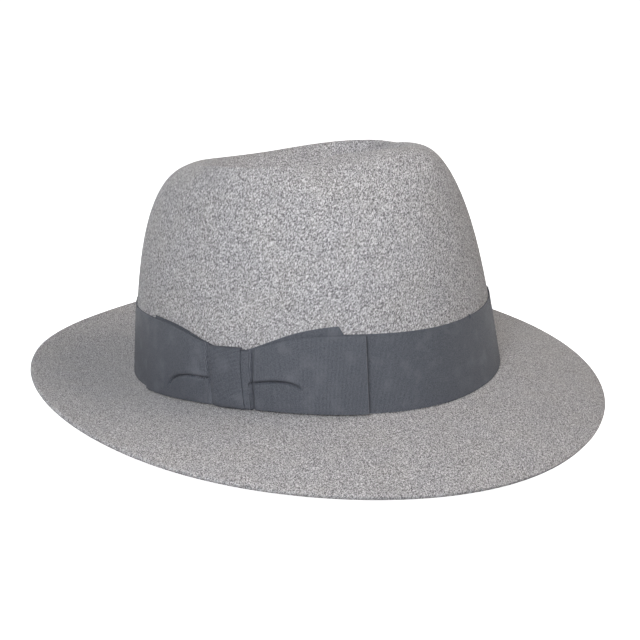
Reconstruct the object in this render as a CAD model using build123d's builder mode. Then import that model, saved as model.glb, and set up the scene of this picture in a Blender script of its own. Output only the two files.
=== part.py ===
from build123d import *
import os
from math import asin, cos, degrees, exp, pi, radians, sin

# Fedora hat, millimetres, +Z up. It stands on a table as worn hats do: the front of the brim and the back
# of the crown's foot touch the plane z = 0, under the middle of the brim. The front is -Y, the wearer's
# left is +X, and the bow is on the wearer's right. Angles are radians from the front towards the left.

# ---- Felt: crown and brim ----
FELT = 2.2                    # thickness of the felt
CROWN_HALF_LENGTH = 105.0     # outside the felt, at the crown's foot
CROWN_HALF_WIDTH = 88.5
OVAL_POWER = 2.15             # 2 is an ellipse, more is squarer
CROWN_BACK = 1.2              # the crown's middle lies this far behind the hat's middle
FOOT_HEIGHT = (12.5, 9.0, -2.0, -0.8)         # mean, front against back, ends against sides, pinches
RIM_HEIGHT = (11.0, -6.0, -3.0, 1.0, -1.0)
BRIM_WIDTH = (56.5, 1.5, -2.5)
BRIM_CURL = 0.55              # share of the brim's rise or fall that comes as a curve

RIDGE_HALF_LENGTH = 66.5      # the crest round the dent in the crown
RIDGE_HALF_WIDTH = 58.5
RIDGE_POWER = 1.45            # below 2 the crest runs to blunt points at the front and the back
RIDGE_BACK = 6.5              # how far the crest's middle lies behind the crown's middle
RIDGE_HEIGHT = (127.0, 8.5, -1.0, 1.5)
WALL_TAPER = (0.135, 0.075)   # lean of the crown's wall, mean and front against back
SHOULDER_POWER = (3.5, 0.0, -0.2)             # roundness of the shoulder: 2 is round, more is squarer
PINCH_DEPTH = 0.13            # front pinches, as a share of the crest's radius
PINCH_ANGLE = radians(38)
PINCH_SPREAD = radians(16)
CREST_FOLD = 0.3              # at the sides the shoulder stops short of level, so the crest is a fold there
DENT_FLOOR = 106.0
DENT_WALL = 28.0
CENTRE_DISC = 8.0             # flat middle of the dent, closed with a disc that laps over its edge
DISC_LAP = 0.05
DISC_RIM = 1.0

# ---- Ribbon and bow ----
RIBBON_HEIGHT = (38.5, -1.5)  # mean, front against back
RIBBON_FOOT = 0.3             # clearance over the brim
RIBBON = 0.6                  # thickness of the grosgrain
GAP = 0.15                    # clearance between layers that are sewn together
GATHER_DEPTH = 11.5           # the knot gathers the ribbon and the bow, so their upper edges dip this deep
GATHER_MIDDLE = -80.0         # here, in degrees from the front, and die out over this many degrees
GATHER_SPREAD = 19.0
KNOT_REAR = -87.0
KNOT_FRONT = -74.0
KNOT_SLACK = 0.8              # degrees left clear between the knot and each loop
KNOT_TOP = 30.0
KNOT_PUFF = 3.4               # height of the knot over the loops' inner side, at its middle
KNOT_EDGE = 0.75              # share of that height at the knot's sides
LOOP_PUFF = (1.0, 2.2)        # fullness of a loop at its end and beside the knot
BOW_FOOT = 0.4                # clearance of the loops and their backing over the brim
# Layers of the bow: the free end in degrees from the front, then how far the upper edge lies above the
# ribbon's at the knot and at the free end.
REAR_LOOP = (-118.0, 1.5, 0.5)
FRONT_LOOP = (-38.0, 0.5, -0.5)
REAR_BACKING = (-117.0, 0.5, 1.5)
FRONT_BACKING = (-45.0, 0.0, 4.0)
BACKING_SLANT = 1.5           # degrees over which the backing's front end is cut on a slant

# ---- Sweatband and lining ----
LEATHER = 1.1
SWEATBAND_FOOT = 0.6          # heights above the crown's foot
SWEATBAND_TOP = 43.0
TAPE = 0.4
TAPE_TOP = 9.0
REED_RADIUS = 0.7
REED_RISE = -0.4             # height of the reed's middle over the crown's foot
STITCH_RISE = 3.4
STITCH_COUNT = 72
STITCH_LENGTH = 2.4
THREAD_RADIUS = 0.2
THREAD_GAP = 0.15             # clearance between a thread and what it is sewn to
TACK_COUNT = 12               # places for tacks round the hat
TACK_DROP = 1.2               # tacks lie this far below the ribbon's upper edge
TACK_LENGTH = 1.8
BOW_REACH = (radians(-132), radians(-29))     # the bow is sewn down by itself: no tacks from here to here
LINING = 0.4
LINING_FOOT = 12.0
PIPING_RADIUS = 0.8
SEAM_AT = 0.80                # where side and tip of the lining meet, as a share of the wall's profile
SEAM_GAP = 0.035              # the share of the profile left clear on each side for the piping
TIP_MIDDLE = 101.0            # height of the middle of the lining's tip
BACK_SEAM_WIDTH = 9.0
BACK_SEAM_FOOT = 4.9
BACK_SEAM_TOP = 42.0
BACK_BOW_HALF = 12.0          # a small bow on the back seam
BACK_BOW_FOOT = 6.0
BACK_BOW_HEIGHT = 8.0
BACK_BOW_WAIST = 4.0
BACK_BOW_PUFF = 1.4
BACK_KNOT_HALF = 2.0
BACK_KNOT_MARGIN = 0.5        # the knot is this much larger than the loops' waist
BACK_CLEARANCE = 0.3

SECTION_ANGLES = [radians(step) for step in range(0, 181, 10)]
WALL_STEPS = [0.0, 0.04, 0.12, 0.28, 0.45, 0.6, 0.75, 0.88, 0.96]
DENT_STEPS = [1.04, 1.14, 1.28, 1.45, 1.65, 2.0]


def wave(angle, terms):
    """A size that varies round the hat: a mean, then cosines of 1, 2, 3... times the angle."""
    return sum(term * cos(order * angle) for order, term in enumerate(terms))


def oval(angle, half_length, half_width, power):
    along = abs(cos(angle) / half_length) ** power
    across = abs(sin(angle) / half_width) ** power
    return (along + across) ** (-1 / power)


def foot_radius(angle):
    return oval(angle, CROWN_HALF_LENGTH, CROWN_HALF_WIDTH, OVAL_POWER)


def ridge_radius(angle):
    crest = oval(angle, RIDGE_HALF_LENGTH, RIDGE_HALF_WIDTH, RIDGE_POWER) - RIDGE_BACK * cos(angle)
    offset = (abs(angle) - PINCH_ANGLE) / PINCH_SPREAD
    return crest * (1 - PINCH_DEPTH * exp(-offset ** 2))


def last_turn(angle):
    """How far the shoulder's curve turns before the crest: a quarter turn at the ends, less at the sides."""
    return pi / 2 * (1 - CREST_FOLD * sin(angle) ** 2)


def wall_outside(angle, step):
    """Radius and height of the crown's outside, from its foot at step 0 to the crest at 1."""
    foot = wave(angle, FOOT_HEIGHT)
    crest = wave(angle, RIDGE_HEIGHT)
    last = last_turn(angle)
    power = 2 / wave(angle, SHOULDER_POWER)
    rise = (crest - foot) * (sin(step * last) / sin(last)) ** power
    gather = (1 - cos(step * last) ** power) / (1 - cos(last) ** power)
    lean = wave(angle, WALL_TAPER)
    top = foot_radius(angle) - lean * (crest - foot)
    return foot_radius(angle) - lean * rise - (top - ridge_radius(angle)) * gather, foot + rise


def dent_outside(angle, step):
    """Radius and height of the dent, from the crest at step 1 to the dent's middle at 2."""
    ridge = ridge_radius(angle)
    crest = wave(angle, RIDGE_HEIGHT)
    radius = ridge + (CENTRE_DISC - ridge) * (step - 1)
    reach = min(1, (ridge - radius) / DENT_WALL)
    gentle = reach * reach * (3 - 2 * reach)
    steep = 1 - (1 - reach) ** 2
    fall = gentle + (steep - gentle) * sin(angle) ** 2
    return radius, crest + (DENT_FLOOR - crest) * fall


def crown_outside(angle, step):
    return wall_outside(angle, step) if step <= 1 else dent_outside(angle, step)


def crown_point(angle, step, inset):
    """A point of the crown's profile, moved inwards from its outside along the profile's normal."""
    nudge = 0.002
    before = Vector(*crown_outside(angle, max(0, step - nudge)))
    after = Vector(*crown_outside(angle, min(2, step + nudge)))
    along = (after - before).normalized()
    radius, height = crown_outside(angle, step)
    return radius - along.Y * inset, height + along.X * inset


def step_at(angle, rise):
    """The profile step at a height above the crown's foot."""
    height = wave(angle, RIDGE_HEIGHT) - wave(angle, FOOT_HEIGHT)
    last = last_turn(angle)
    return asin((max(0, rise) / height) ** (wave(angle, SHOULDER_POWER) / 2) * sin(last)) / last


def wall_point(angle, rise, inset):
    """A point of the crown's wall at a height above its foot; below the foot the wall goes straight down."""
    radius, height = crown_point(angle, step_at(angle, rise), inset)
    return radius, height + min(0, rise)


def brim_point(angle, share, depth):
    """A point of the brim: share 0 at the crown's foot and 1 at the rim, depth below its top."""
    foot = wave(angle, FOOT_HEIGHT)
    climb = wave(angle, RIM_HEIGHT) - foot
    width = wave(angle, BRIM_WIDTH)
    height = foot + climb * share * (1 - BRIM_CURL + BRIM_CURL * share)
    slope = climb / width * (1 - BRIM_CURL + 2 * BRIM_CURL * share)
    length = (1 + slope * slope) ** 0.5
    radius = foot_radius(angle) + width * share
    return radius + depth * slope / length, height - depth / length


def section_plane(angle):
    """The upright plane through the crown's middle at this angle: local X is outwards, local Y is up."""
    outwards = (sin(angle), -cos(angle), 0)
    sideways = (-cos(angle), -sin(angle), 0)
    return Plane(origin=(0, CROWN_BACK, 0), x_dir=outwards, z_dir=sideways)


def layer_section(angle, outer, inner):
    """One section of a thin layer, from the points of its two sides."""
    with BuildSketch(section_plane(angle)) as section:
        with BuildLine():
            Spline(*outer)
            Line(outer[-1], inner[-1])
            Spline(*reversed(inner))
            Line(inner[0], outer[0])
        make_face()
    return section.sketch


def felt_section(angle):
    shares = [1.0, 0.75, 0.5, 0.25, 0.0]
    steps = WALL_STEPS + DENT_STEPS
    brim_top = [brim_point(angle, share, 0) for share in shares]
    brim_under = [brim_point(angle, share, FELT) for share in shares[:-1]]
    outside = [crown_point(angle, step, 0) for step in steps]
    inside = [crown_point(angle, step, FELT) for step in steps]
    corner = (inside[0][0], inside[0][1] - FELT)
    with BuildSketch(section_plane(angle)) as section:
        with BuildLine():
            Spline(*brim_top)
            Spline(*outside)
            Line(outside[-1], inside[-1])
            Spline(*reversed(inside))
            Line(inside[0], corner)
            Spline(corner, *reversed(brim_under))
            Line(brim_under[0], brim_top[0])
        make_face()
    return section.sketch


def profile_section(angle, steps, near, far):
    """A section of a layer that follows the crown's profile between two insets."""
    outer = [crown_point(angle, step, near) for step in steps]
    inner = [crown_point(angle, step, far) for step in steps]
    return layer_section(angle, outer, inner)


def tip_section(angle):
    """A section of the lining's tip, which hangs as a shallow dish under the dent."""
    seam_radius, seam_height = crown_point(angle, SEAM_AT + SEAM_GAP, FELT + 2 * GAP)
    outer = []
    for share in spread(0, 1, 8):
        hang = 1 - (1 - share) ** 4
        radius = seam_radius + (CENTRE_DISC - seam_radius) * share
        outer.append((radius, seam_height + (TIP_MIDDLE - seam_height) * hang))
    inner = [(radius, height - LINING) for radius, height in outer]
    return layer_section(angle, outer, inner)


def band_section(angle, low, high, near, far):
    """A section of an upright band on the crown's wall, between two heights and two insets."""
    rises = [low + (high - low) * share / 4 for share in range(5)]
    outer = [wall_point(angle, rise, near) for rise in rises]
    inner = [wall_point(angle, rise, far) for rise in rises]
    return layer_section(angle, outer, inner)


def round_section(angle, centre, radius):
    with BuildSketch(section_plane(angle)) as section:
        with Locations(centre):
            RegularPolygon(radius, 8)
    return section.sketch


def spread(start, end, count):
    return [start + (end - start) * index / (count - 1) for index in range(count)]


def ribbon_top(angle):
    """Upper edge of the hat ribbon: level, but gathered under the bow's knot."""
    away = (degrees(angle) - GATHER_MIDDLE) / GATHER_SPREAD
    return wave(angle, RIBBON_HEIGHT) - GATHER_DEPTH * exp(-away * away)


def layer_top(layer, degree):
    """Upper edge of a layer of the bow."""
    free_end, knot_rise, end_rise = layer
    share = (degree - GATHER_MIDDLE) / (free_end - GATHER_MIDDLE)
    return ribbon_top(radians(degree)) + knot_rise + (end_rise - knot_rise) * share


def loop_sections(layer, knot_end, near):
    """Sections of one bow loop: thin at its free end and full beside the knot."""
    sections = []
    for degree in spread(layer[0], knot_end, 9):
        share = (degree - layer[0]) / (knot_end - layer[0])
        puff = LOOP_PUFF[0] + (LOOP_PUFF[1] - LOOP_PUFF[0]) * share
        sections.append(band_section(radians(degree), BOW_FOOT, layer_top(layer, degree), near - puff, near))
    return sections


def wall_plane(angle, rise, inset):
    """A plane lying on the crown's wall: local X runs round the hat, local Z points outwards."""
    radius, height = wall_point(angle, rise, inset)
    outwards = Vector(sin(angle), -cos(angle), 0)
    origin = outwards * radius + Vector(0, CROWN_BACK, height)
    return Plane(origin=origin, x_dir=(cos(angle), sin(angle), 0), z_dir=outwards)


os.makedirs("parts", exist_ok=True)

# Insets of the layers from the felt's outside: below zero is on the outside of the hat.
ribbon_near, ribbon_far = -GAP - RIBBON, -GAP
backing_near, backing_far = ribbon_near - GAP - RIBBON, ribbon_near - GAP
loop_far = backing_near - GAP
lining_near, lining_far = FELT + GAP, FELT + GAP + LINING
leather_near, leather_far = lining_far + GAP, lining_far + GAP + LEATHER

# ---- Felt body: crown and brim are one piece of felt ----
with BuildPart() as felt_body:
    loft(sections=[felt_section(angle) for angle in SECTION_ANGLES])
    mirror(about=Plane.YZ)
    with BuildSketch(Plane((0, CROWN_BACK, DENT_FLOOR + DISC_LAP))):
        Circle(CENTRE_DISC + DISC_RIM)
    extrude(amount=-FELT - 2 * DISC_LAP)
felt_body.part.label = "felt_body"
export_step(felt_body.part, "parts/felt_body.step")

# ---- Hat ribbon: grosgrain round the crown's foot, gathered under the bow's knot ----
with BuildPart() as hat_ribbon:
    for side in (1, -1):
        sections = []
        for angle in spread(0, side * pi, 25):
            sections.append(band_section(angle, RIBBON_FOOT, ribbon_top(angle), ribbon_near, ribbon_far))
        loft(sections=sections)
hat_ribbon.part.label = "hat_ribbon"
export_step(hat_ribbon.part, "parts/hat_ribbon.step")

# ---- Bow: a backing with a rear and a front loop over it, held by a knot ----
with BuildPart() as bow_backing:
    edge = [(degree, layer_top(REAR_BACKING, degree)) for degree in spread(REAR_BACKING[0], KNOT_REAR, 8)]
    edge += [(degree, layer_top(FRONT_BACKING, degree)) for degree in spread(KNOT_FRONT, FRONT_BACKING[0], 7)]
    slant_end = FRONT_BACKING[0] + BACKING_SLANT
    edge.append((slant_end, ribbon_top(radians(slant_end)) - GAP))
    loft(sections=[
        band_section(radians(degree), BOW_FOOT, top, backing_near, backing_far)
        for degree, top in edge
    ])
bow_backing.part.label = "bow_backing"
export_step(bow_backing.part, "parts/bow_backing.step")

with BuildPart() as bow_rear_loop:
    loft(sections=loop_sections(REAR_LOOP, KNOT_REAR - KNOT_SLACK, loop_far))
bow_rear_loop.part.label = "bow_rear_loop"
export_step(bow_rear_loop.part, "parts/bow_rear_loop.step")

with BuildPart() as bow_front_loop:
    loft(sections=loop_sections(FRONT_LOOP, KNOT_FRONT + KNOT_SLACK, loop_far))
bow_front_loop.part.label = "bow_front_loop"
export_step(bow_front_loop.part, "parts/bow_front_loop.step")

with BuildPart() as bow_knot:
    sections = []
    for share in spread(0, 1, 7):
        angle = radians(KNOT_REAR + (KNOT_FRONT - KNOT_REAR) * share)
        puff = KNOT_PUFF * (KNOT_EDGE + (1 - KNOT_EDGE) * sin(share * pi))
        sections.append(band_section(angle, RIBBON_FOOT, KNOT_TOP, loop_far - puff, loop_far))
    loft(sections=sections)
bow_knot.part.label = "bow_knot"
export_step(bow_knot.part, "parts/bow_knot.step")

# ---- Thread tacks that hold the ribbon and the bow ----
with BuildPart() as ribbon_tacks:
    tack_angles = [2 * pi * index / TACK_COUNT - pi for index in range(TACK_COUNT)]
    tack_angles = [angle for angle in tack_angles if not BOW_REACH[0] < angle < BOW_REACH[1]]
    tack_inset = ribbon_near - THREAD_RADIUS - THREAD_GAP
    with Locations(*[wall_plane(angle, ribbon_top(angle) - TACK_DROP, tack_inset) for angle in tack_angles]):
        Cylinder(THREAD_RADIUS, TACK_LENGTH, rotation=(0, 90, 0))
ribbon_tacks.part.label = "ribbon_tacks"
export_step(ribbon_tacks.part, "parts/ribbon_tacks.step")

# ---- Sweatband: leather, with a reed in a tape along its foot ----
with BuildPart() as sweatband:
    loft(sections=[
        band_section(angle, SWEATBAND_FOOT, SWEATBAND_TOP, leather_near, leather_far)
        for angle in SECTION_ANGLES
    ])
    mirror(about=Plane.YZ)
sweatband.part.label = "sweatband"
export_step(sweatband.part, "parts/sweatband.step")

with BuildPart() as sweatband_tape:
    loft(sections=[
        band_section(angle, SWEATBAND_FOOT, TAPE_TOP, lining_near, lining_near + TAPE)
        for angle in SECTION_ANGLES
    ])
    mirror(about=Plane.YZ)
sweatband_tape.part.label = "sweatband_tape"
export_step(sweatband_tape.part, "parts/sweatband_tape.step")

with BuildPart() as sweatband_reed:
    loft(sections=[
        round_section(angle, wall_point(angle, REED_RISE, leather_near + REED_RADIUS), REED_RADIUS)
        for angle in SECTION_ANGLES
    ])
    mirror(about=Plane.YZ)
sweatband_reed.part.label = "sweatband_reed"
export_step(sweatband_reed.part, "parts/sweatband_reed.step")

with BuildPart() as sweatband_stitching:
    stitch_inset = leather_far + THREAD_RADIUS + THREAD_GAP
    stitch_angles = [2 * pi * (index + 0.5) / STITCH_COUNT for index in range(STITCH_COUNT)]
    with Locations(*[wall_plane(angle, STITCH_RISE, stitch_inset) for angle in stitch_angles]):
        Cylinder(THREAD_RADIUS, STITCH_LENGTH, rotation=(0, 90, 0))
sweatband_stitching.part.label = "sweatband_stitching"
export_step(sweatband_stitching.part, "parts/sweatband_stitching.step")

# ---- Back seam of the sweatband: a tape over the join and a small bow on it ----
with BuildPart() as back_seam_tape:
    half = BACK_SEAM_WIDTH / 2 / CROWN_HALF_LENGTH
    loft(sections=[
        band_section(angle, BACK_SEAM_FOOT, BACK_SEAM_TOP, leather_far + GAP, leather_far + GAP + TAPE)
        for angle in spread(pi - half, pi + half, 5)
    ])
back_seam_tape.part.label = "back_seam_tape"
export_step(back_seam_tape.part, "parts/back_seam_tape.step")

with BuildPart() as back_bow:
    bow_near = leather_far + 2 * GAP + TAPE
    for side in (1, -1):
        sections = []
        for share in spread(0, 1, 4):
            reach = BACK_KNOT_HALF + BACK_CLEARANCE + (BACK_BOW_HALF - BACK_KNOT_HALF) * share
            height = BACK_BOW_WAIST + (BACK_BOW_HEIGHT - BACK_BOW_WAIST) * share
            puff = BACK_BOW_PUFF * (1 - 0.5 * share)
            foot = BACK_BOW_FOOT + (BACK_BOW_HEIGHT - height) / 2
            angle = pi + side * reach / CROWN_HALF_LENGTH
            sections.append(band_section(angle, foot, foot + height, bow_near, bow_near + puff))
        loft(sections=sections)
back_bow.part.label = "back_bow"
export_step(back_bow.part, "parts/back_bow.step")

with BuildPart() as back_bow_knot:
    half = BACK_KNOT_HALF / CROWN_HALF_LENGTH
    foot = BACK_BOW_FOOT + (BACK_BOW_HEIGHT - BACK_BOW_WAIST) / 2 - BACK_KNOT_MARGIN
    top = foot + BACK_BOW_WAIST + 2 * BACK_KNOT_MARGIN
    loft(sections=[
        band_section(angle, foot, top, bow_near, bow_near + BACK_BOW_PUFF + BACK_KNOT_MARGIN)
        for angle in spread(pi - half, pi + half, 3)
    ])
back_bow_knot.part.label = "back_bow_knot"
export_step(back_bow_knot.part, "parts/back_bow_knot.step")

# ---- Lining: a side and a tip of satin, with piping over their seam ----
with BuildPart() as lining_side:
    sections = []
    for angle in SECTION_ANGLES:
        steps = spread(step_at(angle, LINING_FOOT), SEAM_AT - SEAM_GAP, 6)
        sections.append(profile_section(angle, steps, lining_near, lining_far))
    loft(sections=sections)
    mirror(about=Plane.YZ)
lining_side.part.label = "lining_side"
export_step(lining_side.part, "parts/lining_side.step")

with BuildPart() as lining_tip:
    loft(sections=[tip_section(angle) for angle in SECTION_ANGLES])
    mirror(about=Plane.YZ)
    with BuildSketch(Plane((0, CROWN_BACK, TIP_MIDDLE + DISC_LAP))):
        Circle(CENTRE_DISC + DISC_RIM)
    extrude(amount=-LINING - 2 * DISC_LAP)
lining_tip.part.label = "lining_tip"
export_step(lining_tip.part, "parts/lining_tip.step")

with BuildPart() as lining_piping:
    piping_inset = lining_far + GAP + PIPING_RADIUS
    loft(sections=[
        round_section(angle, crown_point(angle, SEAM_AT, piping_inset), PIPING_RADIUS)
        for angle in SECTION_ANGLES
    ])
    mirror(about=Plane.YZ)
lining_piping.part.label = "lining_piping"
export_step(lining_piping.part, "parts/lining_piping.step")
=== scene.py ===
import bpy
import numpy as np
from math import radians
from mathutils import Matrix, Vector


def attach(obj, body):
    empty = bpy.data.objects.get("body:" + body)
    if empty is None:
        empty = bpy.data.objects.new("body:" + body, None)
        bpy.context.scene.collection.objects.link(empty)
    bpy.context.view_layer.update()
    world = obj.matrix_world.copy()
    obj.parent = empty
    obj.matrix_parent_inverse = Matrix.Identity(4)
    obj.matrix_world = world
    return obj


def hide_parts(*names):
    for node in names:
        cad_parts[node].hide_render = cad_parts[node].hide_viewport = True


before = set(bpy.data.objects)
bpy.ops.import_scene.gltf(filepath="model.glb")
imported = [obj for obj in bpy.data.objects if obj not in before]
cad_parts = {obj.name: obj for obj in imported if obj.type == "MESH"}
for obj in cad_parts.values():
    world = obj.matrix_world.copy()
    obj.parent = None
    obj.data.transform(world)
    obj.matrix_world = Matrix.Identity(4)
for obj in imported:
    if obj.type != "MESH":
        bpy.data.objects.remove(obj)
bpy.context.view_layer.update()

# A grey mottled felt fedora. Metres, in the CAD model's frame: +Z up, the front of the hat is -Y and the
# wearer's left is +X. Angles run from the front towards the wearer's left, so the bow has negative ones.
# A place on the crown's wall is an angle, a rise above the crown's foot and an inset from the felt's
# outside: insets below zero are outside the hat, and those beyond the felt's thickness are inside it.
MM = 0.001

# ---- Shape, as in the CAD model ----
FELT = 2.2 * MM
CROWN_HALF_LENGTH = 105.0 * MM
CROWN_HALF_WIDTH = 88.5 * MM
OVAL_POWER = 2.15
CROWN_BACK = 1.2 * MM
FOOT_HEIGHT = np.array([12.5, 9.0, -2.0, -0.8]) * MM
RIM_HEIGHT = np.array([11.0, -6.0, -3.0, 1.0, -1.0]) * MM
BRIM_WIDTH = np.array([56.5, 1.5, -2.5]) * MM
BRIM_CURL = 0.55
RIDGE_HALF_LENGTH = 66.5 * MM
RIDGE_HALF_WIDTH = 58.5 * MM
RIDGE_POWER = 1.45
RIDGE_BACK = 6.5 * MM
RIDGE_HEIGHT = np.array([127.0, 8.5, -1.0, 1.5]) * MM
WALL_TAPER = np.array([0.135, 0.075])
SHOULDER_POWER = np.array([3.5, 0.0, -0.2])
PINCH_DEPTH = 0.13
PINCH_ANGLE = radians(38)
PINCH_SPREAD = radians(16)
CREST_FOLD = 0.3
CREST_ROUNDING = np.linspace(-0.03, 0.03, 7)   # steps of the profile that are averaged at the crest
CREST_SPREAD = 0.12                            # the rounding dies out over this many steps
DENT_FLOOR = 106.0 * MM
DENT_WALL = 28.0 * MM

RIBBON_HEIGHT = np.array([38.5, -1.5]) * MM
RIBBON_FOOT = 0.3 * MM
RIBBON = 0.6 * MM
GAP = 0.15 * MM
LEATHER = 1.1 * MM
TAPE = 0.4 * MM
LINING = 0.4 * MM
SWEATBAND_FOOT = 0.6 * MM
SWEATBAND_TOP = 43.0 * MM
TAPE_TOP = 9.0 * MM
REED_RADIUS = 0.7 * MM
REED_RISE = -0.4 * MM
STITCH_RISE = 3.4 * MM
LINING_FOOT = 12.0 * MM
SEAM_AT = 0.80
PIPING_RADIUS = 0.8 * MM
TIP_MIDDLE = 101.0 * MM
BACK_SEAM_WIDTH = 9.0 * MM
BACK_SEAM_FOOT = 4.9 * MM
BACK_SEAM_TOP = 41.8 * MM
BACK_BOW_MIDDLE = 10.0 * MM     # height of the small bow's middle
BACK_BOW_WAIST = 4.0 * MM
BACK_BOW_FLARE = 4.0 * MM       # how much higher the loops get towards their ends
BACK_BOW_START = 1.6 * MM       # the loops run from here to this much further
BACK_BOW_REACH = 10.4 * MM
BACK_BOW_CLOTH = 0.3 * MM
TACK_COUNT = 12                 # places for tacks round the hat
BOW_REACH = (radians(-132), radians(-29))      # no tacks between these angles
LOOSE_FROM = 12 * MM            # the sweatband hangs free above this height, and wholly free over this span
LOOSE_SPAN = 30 * MM

# ---- Bow: angles in degrees from the front ----
GATHER_DEPTH = 11.5 * MM       # the knot gathers the ribbon and the bow: their upper edges dip there
GATHER_MIDDLE = -80.0
GATHER_SPREAD = 19.0
# Layers: the free end, then the upper edge's height above the ribbon's at the knot and at the free end.
REAR_LOOP = (-118.0, 1.5 * MM, 0.5 * MM)
FRONT_LOOP = (-38.0, 0.5 * MM, -0.5 * MM)
REAR_BACKING = (-117.0, 0.5 * MM, 1.5 * MM)
FRONT_BACKING = (-45.0, 0.0, 4.0 * MM)
BACKING_SLANT = 1.5
# Creases pressed into the loops: a curve that leaves the first place towards the second and ends at the
# third, each an angle and a rise above the crown's foot.
REAR_CREASE = ((-83, 12.5 * MM), (-102, 16.5 * MM), (-104, 6.5 * MM))
FRONT_CREASE = ((-76, 11 * MM), (-60, 18 * MM), (-56, 12 * MM))
CREASE_DEPTH = 2.9 * MM
CREASE_WIDTH = 0.7 * MM
CREASE_LIP = 0.5 * MM
LOOP_LIFT = 1.9 * MM           # height of a loop's front over the bow's backing
LOOP_PUFF = 1.2 * MM
LOOP_TUCK = 1.8 * MM           # the loops dip this much where they go under the knot
LOOP_SHEET = 0.5 * MM
LOOP_FOOT = 0.6 * MM           # clearance of the loops over the brim
LOOP_BACK_COLUMNS = 30
LOOP_FRONT_COLUMNS = 130
FOLD_BULGE = 0.35              # the loop's fold reaches this many degrees past its free end
TUCK_SPREAD = 0.45             # degrees
# Sides of the strips wound over the bow and of the dips beside them, each at the foot and at the top.
KNOT_REAR = (-83.4, -87.4)
KNOT_FRONT = (-72.3, -74.9)
UNDER_REAR = (-84, -88)
UNDER_FRONT = (-70.6, -72.1)
REAR_TUCK = (-84.8, -88.6)
FRONT_TUCK = (-70.0, -71.4)
KNOT_TOP = 29.4 * MM
KNOT_LIFT = 6.1 * MM
UNDER_TOP = 28.4 * MM
UNDER_LIFT = 5.0 * MM
WRAP_FOOT = 0.3 * MM
WRAP_BASE = 1.3 * MM           # how far out the strips turn under the bow
BACKING_FOOT = 0.5 * MM

BRIM_ROWS = 40
FOOT_ROWS = 14                 # rows of the crown's mesh near its foot, on its wall and in its dent
WALL_ROWS = 60
DENT_ROWS = 60
FOOT_PART = 0.3                # the foot's rows take this share of the wall's profile
RIM_DEPTHS = np.array([0.5, 0.12])             # rounding of the rim, as shares of the felt's thickness
RIM_BULGES = np.array([0.25, 0.18])

STEPS_ROUND = 480              # columns of the meshes that go all round the hat
SHARP_EDGE = radians(50)       # edges that turn more than this are shaded as sharp


# ---- Formulas ----
def wave(angle, terms):
    """A size that varies round the hat: a mean, then cosines of 1, 2, 3... times the angle."""
    return sum(term * np.cos(order * angle) for order, term in enumerate(terms))


def oval(angle, half_length, half_width, power):
    along = np.abs(np.cos(angle) / half_length) ** power
    across = np.abs(np.sin(angle) / half_width) ** power
    return (along + across) ** (-1 / power)


def smooth(share):
    """0 below 0, 1 above 1, and an even S between."""
    share = np.clip(share, 0, 1)
    return share * share * (3 - 2 * share)


def foot_radius(angle):
    return oval(angle, CROWN_HALF_LENGTH, CROWN_HALF_WIDTH, OVAL_POWER)


def ridge_radius(angle):
    crest = oval(angle, RIDGE_HALF_LENGTH, RIDGE_HALF_WIDTH, RIDGE_POWER) - RIDGE_BACK * np.cos(angle)
    turned = np.abs((angle + np.pi) % (2 * np.pi) - np.pi)
    return crest * (1 - PINCH_DEPTH * np.exp(-((turned - PINCH_ANGLE) / PINCH_SPREAD) ** 2))


def last_turn(angle):
    """How far the shoulder's curve turns before the crest: a quarter turn at the ends, less at the sides."""
    return np.pi / 2 * (1 - CREST_FOLD * np.sin(angle) ** 2)


def sharp_profile(angle, step):
    """Radius and height of the crown's outside: step 0 is its foot, 1 the crest, 2 the dent's middle."""
    foot = wave(angle, FOOT_HEIGHT)
    crest = wave(angle, RIDGE_HEIGHT)
    ridge = ridge_radius(angle)
    last = last_turn(angle)
    up = np.clip(step, 0, 1) * last
    power = 2 / wave(angle, SHOULDER_POWER)
    rise = (crest - foot) * (np.sin(up) / np.sin(last)) ** power
    gather = (1 - np.clip(np.cos(up), 0, 1) ** power) / (1 - np.clip(np.cos(last), 0, 1) ** power)
    lean = wave(angle, WALL_TAPER)
    top = foot_radius(angle) - lean * (crest - foot)
    wall_radius = foot_radius(angle) - lean * rise - (top - ridge) * gather
    dent_radius = ridge * (2 - step)
    reach = np.clip((ridge - dent_radius) / DENT_WALL, 0, 1)
    steep = 1 - (1 - reach) ** 2
    fall = smooth(reach) + (steep - smooth(reach)) * np.sin(angle) ** 2
    radius = np.where(step <= 1, wall_radius, dent_radius)
    height = np.where(step <= 1, foot + rise, crest + (DENT_FLOOR - crest) * fall)
    return radius, height


def crown_outside(angle, step):
    """The profile with its crest rounded a little."""
    near_crest = np.clip(1 - np.abs(np.asarray(step) - 1) / CREST_SPREAD, 0, 1)
    places = [sharp_profile(angle, step + shift * near_crest) for shift in CREST_ROUNDING]
    return sum(place[0] for place in places) / len(places), sum(place[1] for place in places) / len(places)


def crown_point(angle, step, inset):
    """A point of the crown's profile, moved inwards from its outside along the profile's normal."""
    nudge = 0.002
    radius_before, height_before = crown_outside(angle, np.maximum(0, step - nudge))
    radius_after, height_after = crown_outside(angle, np.minimum(2, step + nudge))
    outwards, upwards = radius_after - radius_before, height_after - height_before
    length = np.hypot(outwards, upwards)
    radius, height = crown_outside(angle, step)
    return radius - upwards / length * inset, height + outwards / length * inset


def step_at(angle, rise):
    """The profile step at a height above the crown's foot."""
    height = wave(angle, RIDGE_HEIGHT) - wave(angle, FOOT_HEIGHT)
    share = np.maximum(0, rise) / height
    last = last_turn(angle)
    return np.arcsin(share ** (wave(angle, SHOULDER_POWER) / 2) * np.sin(last)) / last


def wall_point(angle, rise, inset):
    """A point of the crown's wall at a height above its foot; below the foot the wall goes straight down."""
    radius, height = crown_point(angle, step_at(angle, rise), inset)
    return radius, height + np.minimum(0, rise)


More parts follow.
